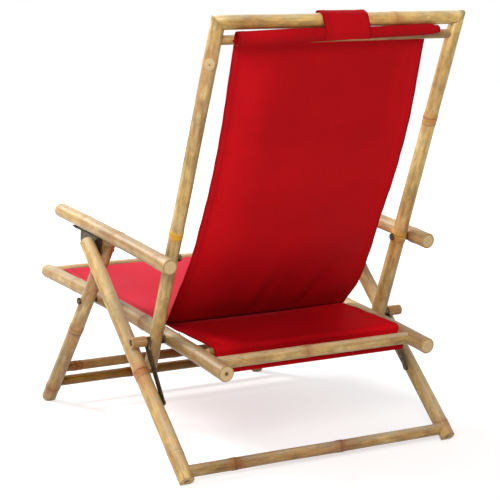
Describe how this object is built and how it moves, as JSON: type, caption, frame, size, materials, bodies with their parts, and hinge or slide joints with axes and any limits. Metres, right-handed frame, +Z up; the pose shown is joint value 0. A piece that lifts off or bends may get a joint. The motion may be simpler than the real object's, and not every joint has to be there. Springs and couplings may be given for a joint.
{
  "type": "folding deck chair",
  "caption": "Low folding deck chair of bamboo poles with a slung canvas seat and back, a strapped head pillow and round armrests, on crossed legs that fold together.",
  "frame": {"origin": "on the floor, under the middle of the opened chair's bounding box", "axes": "+X to the sitter's left, +Y to the rear, +Z up"},
  "size_m": [0.6406, 0.8846, 0.8859],
  "materials": {
    "bamboo": "lacquered bamboo with orange-brown nodes",
    "canvas": "plain woven cotton canvas, matt",
    "dark_steel": "dark oxide, slightly worn"
  },
  "bodies": {
    "seat_frame": {"seat_rail_left": "bamboo", "seat_rail_right": "bamboo", "seat_front_rail": "bamboo", "seat_rear_rail": "bamboo", "seat_front_rod": "bamboo", "seat_rear_rod": "bamboo", "seat_sling": "canvas", "sling_front_dowel": "bamboo", "sling_rear_dowel": "bamboo", "back_pivot_bolts": "dark_steel", "back_pivot_nuts": "dark_steel", "back_pivot_washers": "dark_steel", "stub_dowel_left": "bamboo", "stub_dowel_right": "bamboo"},
    "back_frame": {"back_post_left": "bamboo", "back_post_right": "bamboo", "top_rail": "bamboo", "sling_rod": "bamboo", "back_sling": "canvas", "sling_fold": "canvas", "sling_top_dowel": "bamboo", "head_pillow": "canvas", "pillow_strap": "canvas", "arm_pivot_bolts": "dark_steel", "arm_pivot_washers": "dark_steel"},
    "front_legs": {"front_leg_left": "bamboo", "front_leg_right": "bamboo", "front_stretcher_lower": "bamboo", "front_stretcher_upper": "bamboo", "leg_pivot_bolts": "dark_steel", "leg_pivot_nuts": "dark_steel", "leg_pivot_spacers": "dark_steel", "leg_top_bolts": "dark_steel"},
    "armrests": {"armrest_left": "bamboo", "armrest_right": "bamboo", "arm_bracket_left": "dark_steel", "arm_bracket_right": "dark_steel", "bracket_screws": "dark_steel", "bracket_bolts": "dark_steel"},
    "rear_legs": {"rear_leg_left": "bamboo", "rear_leg_right": "bamboo", "rear_stretcher": "bamboo"},
    "brace_links": {"brace_link_left": "dark_steel", "brace_link_right": "dark_steel", "brace_rivets": "dark_steel"}
  },
  "joints": [
    {"name": "back_fold", "type": "hinge", "parent": "seat_frame", "child": "back_frame", "pos_m": [0, 0.16078, 0.238], "axis": [1, 0, 0], "range_deg": [0, 97], "deforming": ["sling_fold"]},
    {"name": "front_leg_fold", "type": "hinge", "parent": "seat_frame", "child": "front_legs", "pos_m": [0, -0.15115, 0.26395], "axis": [1, 0, 0], "range_deg": [0, 109.7]},
    {"name": "arm_fold", "type": "hinge", "parent": "back_frame", "child": "armrests", "pos_m": [0, 0.2315, 0.41219], "axis": [1, 0, 0], "range_deg": [-108, 0]},
    {"name": "rear_leg_fold", "type": "hinge", "parent": "armrests", "child": "rear_legs", "pos_m": [0, -0.05046, 0.38829], "axis": [1, 0, 0], "range_deg": [0, 30.3]},
    {"name": "brace_fold", "type": "hinge", "parent": "seat_frame", "child": "brace_links", "pos_m": [0, 0.16078, 0.238], "axis": [1, 0, 0], "range_deg": [-91.2, 0]}
  ],
  "couplings": [
    {"joint": "front_leg_fold", "follows": "back_fold", "ratio": 1.1304},
    {"joint": "arm_fold", "follows": "back_fold", "ratio": -1.1126},
    {"joint": "rear_leg_fold", "follows": "back_fold", "ratio": 0.3113},
    {"joint": "brace_fold", "follows": "back_fold", "ratio": -0.9387}
  ]
}
